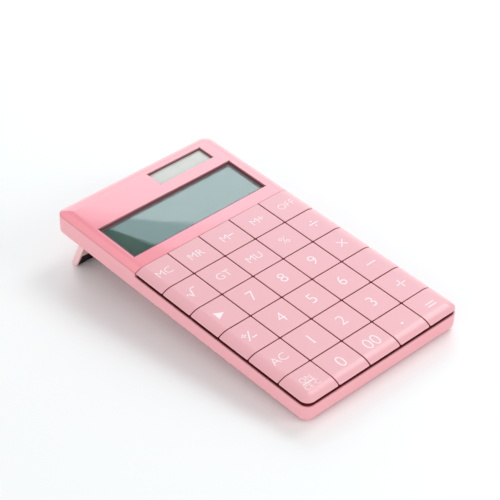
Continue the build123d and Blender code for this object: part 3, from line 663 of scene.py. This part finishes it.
# line drawn signs: each stroke is a list of points in millimetres from the key's centre
legendStrokes = {
    "memory_minus": [[(1.6, 0.3), (4.0, 0.3)]],
    "memory_plus": [[(1.6, 0.3), (4.0, 0.3)], [(2.8, 1.5), (2.8, -0.9)]],
    "root": [[(-3.0, -0.2), (-2.0, 0.4), (-0.6, -2.6), (0.9, 2.8), (3.2, 2.8)]],
    "divide": [[(-2.6, 0), (2.6, 0)]],
    "multiply": [[(-1.9, -1.9), (1.9, 1.9)], [(-1.9, 1.9), (1.9, -1.9)]],
    "sign": [
        [(-2.9, 1.5), (-0.7, 1.5)], [(-1.8, 2.6), (-1.8, 0.4)], [(-1.7, -2.6), (1.7, 2.6)],
        [(0.9, -1.6), (3.1, -1.6)],
    ],
    "minus": [[(-2.5, 0), (2.5, 0)]],
    "plus": [[(-2.5, 0), (2.5, 0)], [(0, -2.5), (0, 2.5)]],
    "equals": [[(-2.4, 0.95), (2.4, 0.95)], [(-2.4, -0.95), (2.4, -0.95)]],
    "on_clear": [[(-3.2, 0.0), (3.2, 0.0)]],
}
legendDots = {"divide": [(0, 2.0, 0.5), (0, -2.0, 0.5)], "point": [(0, -0.4, 0.62)]}
legendParts = {
    "memory_minus": [("M", 4.3, -1.2, 0.0)],
    "memory_plus": [("M", 4.3, -1.2, 0.0)],
    "on_clear": [("ON", 3.0, 0.0, 2.3), ("CE·C", 2.8, 0.0, -2.3)],
}


def addText(bm, words, tall, x, y):
    curve = bpy.data.curves.new("legendCurve", "FONT")
    curve.body = words
    curve.align_x = "CENTER"
    curve.size = 1
    curve.offset = legendInk["letterThin"]
    curve.resolution_u = 4
    curve.extrude = 0.5
    holder = bpy.data.objects.new("legendCurve", curve)
    bpy.context.scene.collection.objects.link(holder)
    bpy.context.view_layer.update()
    mesh = bpy.data.meshes.new_from_object(holder.evaluated_get(bpy.context.evaluated_depsgraph_get()))
    bpy.data.objects.remove(holder)
    fresh = bmesh.new()
    fresh.from_mesh(mesh)
    bpy.data.meshes.remove(mesh)
    bmesh.ops.remove_doubles(fresh, verts=fresh.verts[:], dist=0.0001)
    places = [vertex.co for vertex in fresh.verts]
    lowX, highX = min(place.x for place in places), max(place.x for place in places)
    lowY, highY = min(place.y for place in places), max(place.y for place in places)
    size = tall / (highY - lowY)
    bmesh.ops.translate(fresh, vec=(-(lowX + highX) / 2, -(lowY + highY) / 2, 0), verts=fresh.verts)
    bmesh.ops.scale(fresh, vec=(size, size, legendInk["depth"]), verts=fresh.verts)
    bmesh.ops.translate(fresh, vec=(x, y, 0), verts=fresh.verts)
    flat = bpy.data.meshes.new("legendFlat")
    fresh.to_mesh(flat)
    fresh.free()
    bm.from_mesh(flat)
    bpy.data.meshes.remove(flat)


def addStroke(bm, start, end):
    run = Vector(end) - Vector(start)
    wide = legendInk["stroke"]
    made = bmesh.ops.create_cube(bm, size=1.0)["verts"]
    bmesh.ops.scale(bm, vec=(run.length + wide, wide, legendInk["depth"]), verts=made)
    bmesh.ops.rotate(bm, cent=(0, 0, 0), matrix=Matrix.Rotation(math.atan2(run.y, run.x), 3, "Z"), verts=made)
    middle = (Vector(start) + Vector(end)) / 2
    bmesh.ops.translate(bm, vec=(middle.x, middle.y, 0), verts=made)


def addDisc(bm, x, y, radius, segments, turn=0.0):
    made = bmesh.ops.create_cone(
        bm, cap_ends=True, segments=segments, radius1=radius, radius2=radius, depth=legendInk["depth"],
        matrix=Matrix.Translation((x, y, 0)) @ Matrix.Rotation(turn, 4, "Z"),
    )
    return made["verts"]


def makeLegend(name):
    short = name[4:]
    bm = bmesh.new()
    if short in legendText:
        addText(bm, *legendText[short], 0, 0)
    for words, tall, x, y in legendParts.get(short, []):
        addText(bm, words, tall, x, y)
    for points in legendStrokes.get(short, []):
        for start, end in zip(points, points[1:]):
            addStroke(bm, start, end)
    for x, y, radius in legendDots.get(short, []):
        addDisc(bm, x, y, radius, legendInk["dotSides"])
    if short == "backspace":
        arrow = addDisc(bm, 0, 0, 1, 3, math.radians(-90))
        places = [vertex.co.copy() for vertex in arrow]
        wide = max(place.x for place in places) - min(place.x for place in places)
        tall = max(place.y for place in places) - min(place.y for place in places)
        middleX = (max(place.x for place in places) + min(place.x for place in places)) / 2
        bmesh.ops.translate(bm, vec=(-middleX, 0, 0), verts=arrow)
        arrowWide, arrowTall = legendInk["arrow"]
        bmesh.ops.scale(bm, vec=(arrowWide / wide, arrowTall / tall, 1), verts=arrow)
    low, high = keyBoxes[name]
    centre = (low + high) / 2
    for vertex in bm.verts:
        x, y = vertex.co.x + centre.x, vertex.co.y + centre.y
        surface = keyTopZ - rollFall(insideSlab(x, y, keyRoll), keyRoll)
        vertex.co = (x, y, surface + vertex.co.z + legendInk["proud"] - legendInk["depth"] / 2)
    bmesh.ops.recalc_face_normals(bm, faces=bm.faces[:])
    return finishPiece(bm, "legend_" + short, name, [legendWhite], smoothAngle=30)


for name in keyNames:
    makeLegend(name)
print("legends made:", len(keyNames))


panel = {
    "edgeZ": 11.4,
    "innerZ": 11.8,
    "wall": 3.6,
    "frontWall": 1.0,
    "openings": ((-42.5, 42.5, 8.3, 35.9), (3.5, 38.5, 43.2, 54.0)),
    "openingCorner": 0.45,
    "openingCornerSteps": 4,
    "openingLip": 0.18,
    "lipSteps": 3,
    "outlineBand": 0.05,
    "lip": 0.15,
    "edgeWall": 0.2,
    "sink": 0.015,
}
panelHigh = flatBox("display_bezel")[1]
panelRoll = {
    "width": 5.6, "fall": panelHigh.z - panel["edgeZ"] - panel["edgeWall"], "strips": 8, "corner": 4.5,
    "inward": -1, "cornerTrim": 0.15, "cornerSteps": 9,
    "halfWidth": 48.8, "endY": panelHigh.y,
}
panelFrontY = 0.3


def within(face, area):
    centre = face.calc_center_median()
    return area[0] < centre.x < area[1] and area[2] < centre.y < area[3]


def openThrough(bm, area):
    # takes out the top and bottom faces in this area and walls the hole; returns the walls
    gone = [face for face in bm.faces if abs(face.normal.z) > 0.9 and within(face, area)]
    bmesh.ops.delete(bm, geom=gone, context="FACES")
    rims = [edge for edge in bm.edges if len(edge.link_faces) == 1]
    walls = bmesh.ops.bridge_loops(bm, edges=rims)["faces"]
    loose = [edge for edge in bm.edges if not edge.link_faces]
    bmesh.ops.delete(bm, geom=loose, context="EDGES")
    return walls


def makePanel():
    bm = bmesh.new()
    halfWidth, rearY, topZ = panelRoll["halfWidth"], panelRoll["endY"], panelHigh.z - panel["sink"]
    addBox(bm, (-halfWidth, panelFrontY, panel["edgeZ"]), (halfWidth, rearY, topZ))
    rearCorners = standingEdges(bm, lambda place: place.y > rearY - near)
    roundEdges(bm, rearCorners, panelRoll["corner"] - panelRoll["cornerTrim"], panelRoll["cornerSteps"])
    stripCuts(bm, panelRoll, True, True, True)
    innerX, innerRear = halfWidth - panel["wall"], rearY - panel["wall"]
    innerFront = panelFrontY + panel["frontWall"]
    for place in (-innerX, innerX):
        cutAt(bm, 0, place)
    for place in (innerFront, innerRear):
        cutAt(bm, 1, place)
    for lowX, highX, lowY, highY in panel["openings"]:
        cutAt(bm, 0, lowX)
        cutAt(bm, 0, highX)
        cutAt(bm, 1, lowY)
        cutAt(bm, 1, highY)
    lowerOntoRoll(bm, topZ, panelRoll)
    # the underside is raised inside the walls
    bm.normal_update()
    under = [
        face for face in bm.faces
        if face.normal.z < -0.9 and within(face, (-innerX, innerX, innerFront, innerRear))
    ]
    raised = bmesh.ops.extrude_face_region(bm, geom=under)
    bmesh.ops.delete(bm, geom=[face for face in under if face.is_valid], context="FACES")
    lifted = [part for part in raised["geom"] if isinstance(part, bmesh.types.BMVert)]
    bmesh.ops.translate(bm, vec=(0, 0, panel["innerZ"] - panel["edgeZ"]), verts=lifted)
    # the two openings, whose walls are painted dark maroon as their shade
    bm.normal_update()
    for area in panel["openings"]:
        for face in openThrough(bm, area):
            face.material_index = 1
    bmesh.ops.recalc_face_normals(bm, faces=bm.faces[:])

    def atOpeningCorner(place):
        return any(
            min(abs(place.x - area[0]), abs(place.x - area[1])) < near
            and min(abs(place.y - area[2]), abs(place.y - area[3])) < near
            for area in panel["openings"]
        )

    roundEdges(bm, standingEdges(bm, atOpeningCorner), panel["openingCorner"], panel["openingCornerSteps"])
    bm.normal_update()

    def onOutline(place):
        return insideSlab(place.x, place.y, panelRoll) < panel["outlineBand"] or place.y < panelFrontY + near

    roundEdges(bm, topEdges(bm, onOutline), panel["lip"], panel["lipSteps"])
    bm.normal_update()
    openingRims = topEdges(bm, lambda place: not onOutline(place) and place.y > panel["frontWall"])
    roundEdges(bm, openingRims, panel["openingLip"], panel["lipSteps"])

    def onLip(place):
        depth = topZ - rollFall(insideSlab(place.x, place.y, panelRoll), panelRoll) - place.z
        return 1.0 if edgeMark["shallow"] < depth < panel["lip"] * edgeMark["share"] else 0.0

    # the rounded lip takes the paler wear and painted highlight
    markPlaces(bm, "edge", onLip)
    paints = [panelPink, openingShade]
    return finishPiece(bm, "display_panel", "casing", paints, ["display_bezel"])


makePanel()
print("display panel made")


displayGlass = {
    "windowLip": 0.1, "gap": 0.05, "sealInset": 0.9, "glassLip": 0.06, "lipSteps": 2,
    "borderStart": 0.25, "borderWidth": 1.45, "borderTall": 0.02,
}


def makeWindow():
    low, high = flatBox("display_window")
    bm = bmesh.new()
    addBox(bm, (low.x, low.y, low.z + displayGlass["gap"]), high)
    bm.normal_update()
    roundEdges(bm, topEdges(bm, lambda place: True), displayGlass["windowLip"], displayGlass["lipSteps"])
    return finishPiece(bm, "clear_window", "casing", [windowClear], ["display_window"])


def makeDisplayGlass():
    low, high = flatBox("lcd_glass")
    bm = bmesh.new()
    middleZ = (low.z + high.z) / 2
    addBox(bm, low, (high.x, high.y, middleZ))
    inset = displayGlass["sealInset"]
    addBox(bm, (low.x + inset, low.y + inset, middleZ - near), (high.x - inset, high.y - inset, high.z))
    bm.normal_update()
    roundEdges(bm, topEdges(bm, lambda place: True), displayGlass["glassLip"], displayGlass["lipSteps"])
    return finishPiece(bm, "display_glass", "casing", [lcdGreen], ["lcd_glass"])


def makeWindowBorder():
    # a dark line on the window, just inside its gasket
    lowX, highX, lowY, highY = panel["openings"][0]
    start = displayGlass["borderStart"]
    inner = start + displayGlass["borderWidth"]
    area = (lowX + inner, highX - inner, lowY + inner, highY - inner)
    windowTop = flatBox("display_window")[1].z
    bm = bmesh.new()
    addBox(
        bm, (lowX + start, lowY + start, windowTop),
        (highX - start, highY - start, windowTop + displayGlass["borderTall"]),
    )
    for place in area[:2]:
        cutAt(bm, 0, place)
    for place in area[2:]:
        cutAt(bm, 1, place)
    bm.normal_update()
    openThrough(bm, area)
    bmesh.ops.recalc_face_normals(bm, faces=bm.faces[:])
    return finishPiece(bm, "window_border", "casing", [borderDark])


makeWindow()
makeWindowBorder()
makeDisplayGlass()

solarCell = {
    "lines": 4, "lineWidth": 0.22, "lineDeep": 0.05, "lineProud": 0.004, "border": 0.4, "lip": 0.08,
    "lipSteps": 2,
}


def makeSolarCell():
    low, high = flatBox("solar_cell")
    bm = bmesh.new()
    addBox(bm, low, high)
    bm.normal_update()
    roundEdges(bm, topEdges(bm, lambda place: True), solarCell["lip"], solarCell["lipSteps"])
    width = high.x - low.x
    for index in range(1, solarCell["lines"]):
        x = low.x + width * index / solarCell["lines"]
        half = solarCell["lineWidth"] / 2
        before = set(bm.faces)
        addBox(
            bm, (x - half, low.y + solarCell["border"], high.z - solarCell["lineDeep"]),
            (x + half, high.y - solarCell["border"], high.z + solarCell["lineProud"]),
        )
        for face in set(bm.faces) - before:
            face.material_index = 1
    return finishPiece(bm, "solar_plate", "casing", [solarGlass, solarLine], ["solar_cell"])


makeSolarCell()
print("window, display glass and solar cell made")


# each rubber dome is parted from the sheet
rubberDome = {"height": 1.6, "reach": 5.2, "keep": 0.24}
sheetTop = flatBox("keypad_membrane")[1].z - rubberDome["height"]


def nearKey(place, name):
    low, high = keyBoxes[name]
    return math.hypot(place.x - (low.x + high.x) / 2, place.y - (low.y + high.y) / 2) < rubberDome["reach"]


def closeRing(bm, name):
    rims = [
        edge for edge in bm.edges
        if len(edge.link_faces) == 1 and nearKey((edge.verts[0].co + edge.verts[1].co) / 2, name)
    ]
    bmesh.ops.bridge_loops(bm, edges=rims)


def makeRubberPart(pieceName, staying, keys):
    bm = bmesh.new()
    bm.from_mesh(nodes["keypad_membrane"].data)
    bm.transform(standingToFlat)
    bmesh.ops.remove_doubles(bm, verts=bm.verts[:], dist=0.002)
    cutAt(bm, 2, sheetTop)
    gone = [face for face in bm.faces if not staying(face.calc_center_median())]
    bmesh.ops.delete(bm, geom=gone, context="FACES")
    for name in keys:
        closeRing(bm, name)
    bmesh.ops.recalc_face_normals(bm, faces=bm.faces[:])
    return finishPiece(bm, pieceName, "casing", [siliconeGrey])


def makeDome(name):
    dome = makeRubberPart(
        "dome_" + name[4:], lambda place: place.z > sheetTop + near and nearKey(place, name), [name]
    )
    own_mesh(dome)


rubberSheet = makeRubberPart("rubber_sheet", lambda place: place.z < sheetTop + near, keyNames)
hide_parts("keypad_membrane")
for name in keyNames:
    makeDome(name)
print("rubber sheet and domes made")


# the CAD nodes whose shape stays, each with its finish
carriedFinish = {
    "base_casing": casingPink, "battery_door": casingPink, "stand": standPink, "key_deck": deckMaroon,
    "display_carrier": carrierBlack, "circuit_board": boardGreen,
    "processor_resin": resinBlack, "small_components": resinBlack, "display_gasket": foamBlack,
    "solar_gasket": foamBlack, "lcd_reflector": foilSilver, "lcd_ribbon": filmAmber, "solar_wires": wireRed,
    "button_cell": cellSteel, "cell_contact_negative": nickelBright, "cell_contact_positive": nickelBright,
    "casing_screws": steelBright, "board_screws": steelBright, "bezel_screws": steelBright,
    "carrier_screws": steelBright, "stand_hinge_pins": steelBright, "stand_foot_strip": rubberBlack,
    "front_feet": rubberBlack,
}
softEdges = {
    "base_casing": 0.12, "battery_door": 0.12, "stand": 0.25, "stand_foot_strip": 0.12, "front_feet": 0.25,
    "casing_screws": 0.08, "key_deck": 0.06,
}

for node, material in carriedFinish.items():
    piece = nodes[node]
    piece.data.materials.clear()
    piece.data.materials.append(material)
    if node in softEdges:
        weld = piece.modifiers.new("joinCorners", "WELD")
        weld.merge_threshold = 0.000002
        bevel = piece.modifiers.new("softEdges", "BEVEL")
        bevel.width = softEdges[node] / 1000
        bevel.segments = 2
        bevel.limit_method = "ANGLE"
        bevel.angle_limit = math.radians(35)
        bevel.use_clamp_overlap = True
        even = piece.modifiers.new("evenShading", "WEIGHTED_NORMAL")
        even.weight = 100
print("carried-over parts finished:", len(carriedFinish))


studio = {
    "floorSize": 6.0,
    "floorColor": (0.925, 0.945, 0.945, 1),
    "floorRoughness": 0.35,
    "floorDrop": 0.0002,  # metres under the feet
    "sky": 0.6,
    "keyLight": {"place": (0.85, 0.05, 1.0), "size": 0.6, "power": 3.8, "tint": (1, 1, 1)},
    "frontLight": {"place": (0.55, -1.0, 0.5), "size": 0.7, "power": 4.6, "tint": (1, 0.96, 0.94)},
    "leftFill": {"place": (-0.95, -0.15, 0.35), "size": 0.7, "power": 3.0, "tint": (1, 0.98, 0.97)},
    "backWall": {"place": (0.85, 0.95, 0.35), "size": 1.4, "power": 5.0, "tint": (1, 1, 1)},
    "mirrorBox": {
        "place": (0.845, 0.645, 0.9), "size": (0.69, 0.9), "turn": 22, "power": 2.0,
        "tint": (0.56, 0.83, 0.97),
    },
    "darkFlag": {
        "place": (0.373, 0.704, 0.885), "size": (0.36, 0.45), "turn": 26,
        "color": (0.02, 0.02, 0.02, 1),
    },
}


def makeFloor():
    bm = bmesh.new()
    bmesh.ops.create_grid(bm, x_segments=2, y_segments=2, size=studio["floorSize"] / 2)
    mesh = bpy.data.meshes.new("studioFloor")
    bm.to_mesh(mesh)
    bm.free()
    floor = bpy.data.objects.new("studioFloor", mesh)
    floor.location.z = -studio["floorDrop"]
    bpy.context.scene.collection.objects.link(floor)
    material = bpy.data.materials.new("floorPaper")
    material.use_nodes = True
    shader = material.node_tree.nodes["Principled BSDF"]
    shader.inputs["Base Color"].default_value = studio["floorColor"]
    shader.inputs["Roughness"].default_value = studio["floorRoughness"]
    mesh.materials.append(material)


def makeLight(name, values):
    data = bpy.data.lights.new(name, "AREA")
    data.shape = "DISK"
    data.size = values["size"]
    data.energy = values["power"]
    data.color = values["tint"]
    lamp = bpy.data.objects.new(name, data)
    lamp.location = values["place"]
    lamp.rotation_euler = (-Vector(values["place"])).to_track_quat("-Z", "Y").to_euler()
    bpy.context.scene.collection.objects.link(lamp)


def makeMirrorBox(values):
    # a soft box above, lying level, that the display and the key tops mirror
    data = bpy.data.lights.new("mirrorBox", "AREA")
    data.shape = "RECTANGLE"
    data.size, data.size_y = values["size"]
    data.energy = values["power"]
    data.color = values["tint"]
    lamp = bpy.data.objects.new("mirrorBox", data)
    lamp.location = values["place"]
    lamp.rotation_euler.z = math.radians(values["turn"])
    bpy.context.scene.collection.objects.link(lamp)


def makeDarkFlag(values):
    # a dark card beside the soft box, seen only in reflections
    bm = bmesh.new()
    bmesh.ops.create_grid(bm, x_segments=1, y_segments=1, size=0.5)
    bmesh.ops.scale(bm, vec=(*values["size"], 1), verts=bm.verts)
    mesh = bpy.data.meshes.new("darkFlag")
    bm.to_mesh(mesh)
    bm.free()
    card = bpy.data.objects.new("darkFlag", mesh)
    card.location = values["place"]
    card.rotation_euler.z = math.radians(values["turn"])
    bpy.context.scene.collection.objects.link(card)
    material = bpy.data.materials.new("flagCloth")
    material.use_nodes = True
    material.node_tree.nodes["Principled BSDF"].inputs["Base Color"].default_value = values["color"]
    mesh.materials.append(material)
    card.visible_camera = False
    card.visible_shadow = False
    card.visible_diffuse = False


makeFloor()
for lampName in ("keyLight", "frontLight", "leftFill", "backWall"):
    makeLight(lampName, studio[lampName])
makeMirrorBox(studio["mirrorBox"])
makeDarkFlag(studio["darkFlag"])
world = bpy.data.worlds.new("studioSky")
world.use_nodes = True
world.node_tree.nodes["Background"].inputs["Color"].default_value = (1, 1, 1, 1)
world.node_tree.nodes["Background"].inputs["Strength"].default_value = studio["sky"]
bpy.context.scene.world = world
bpy.context.scene.view_settings.view_transform = "Standard"
print("floor and light made")
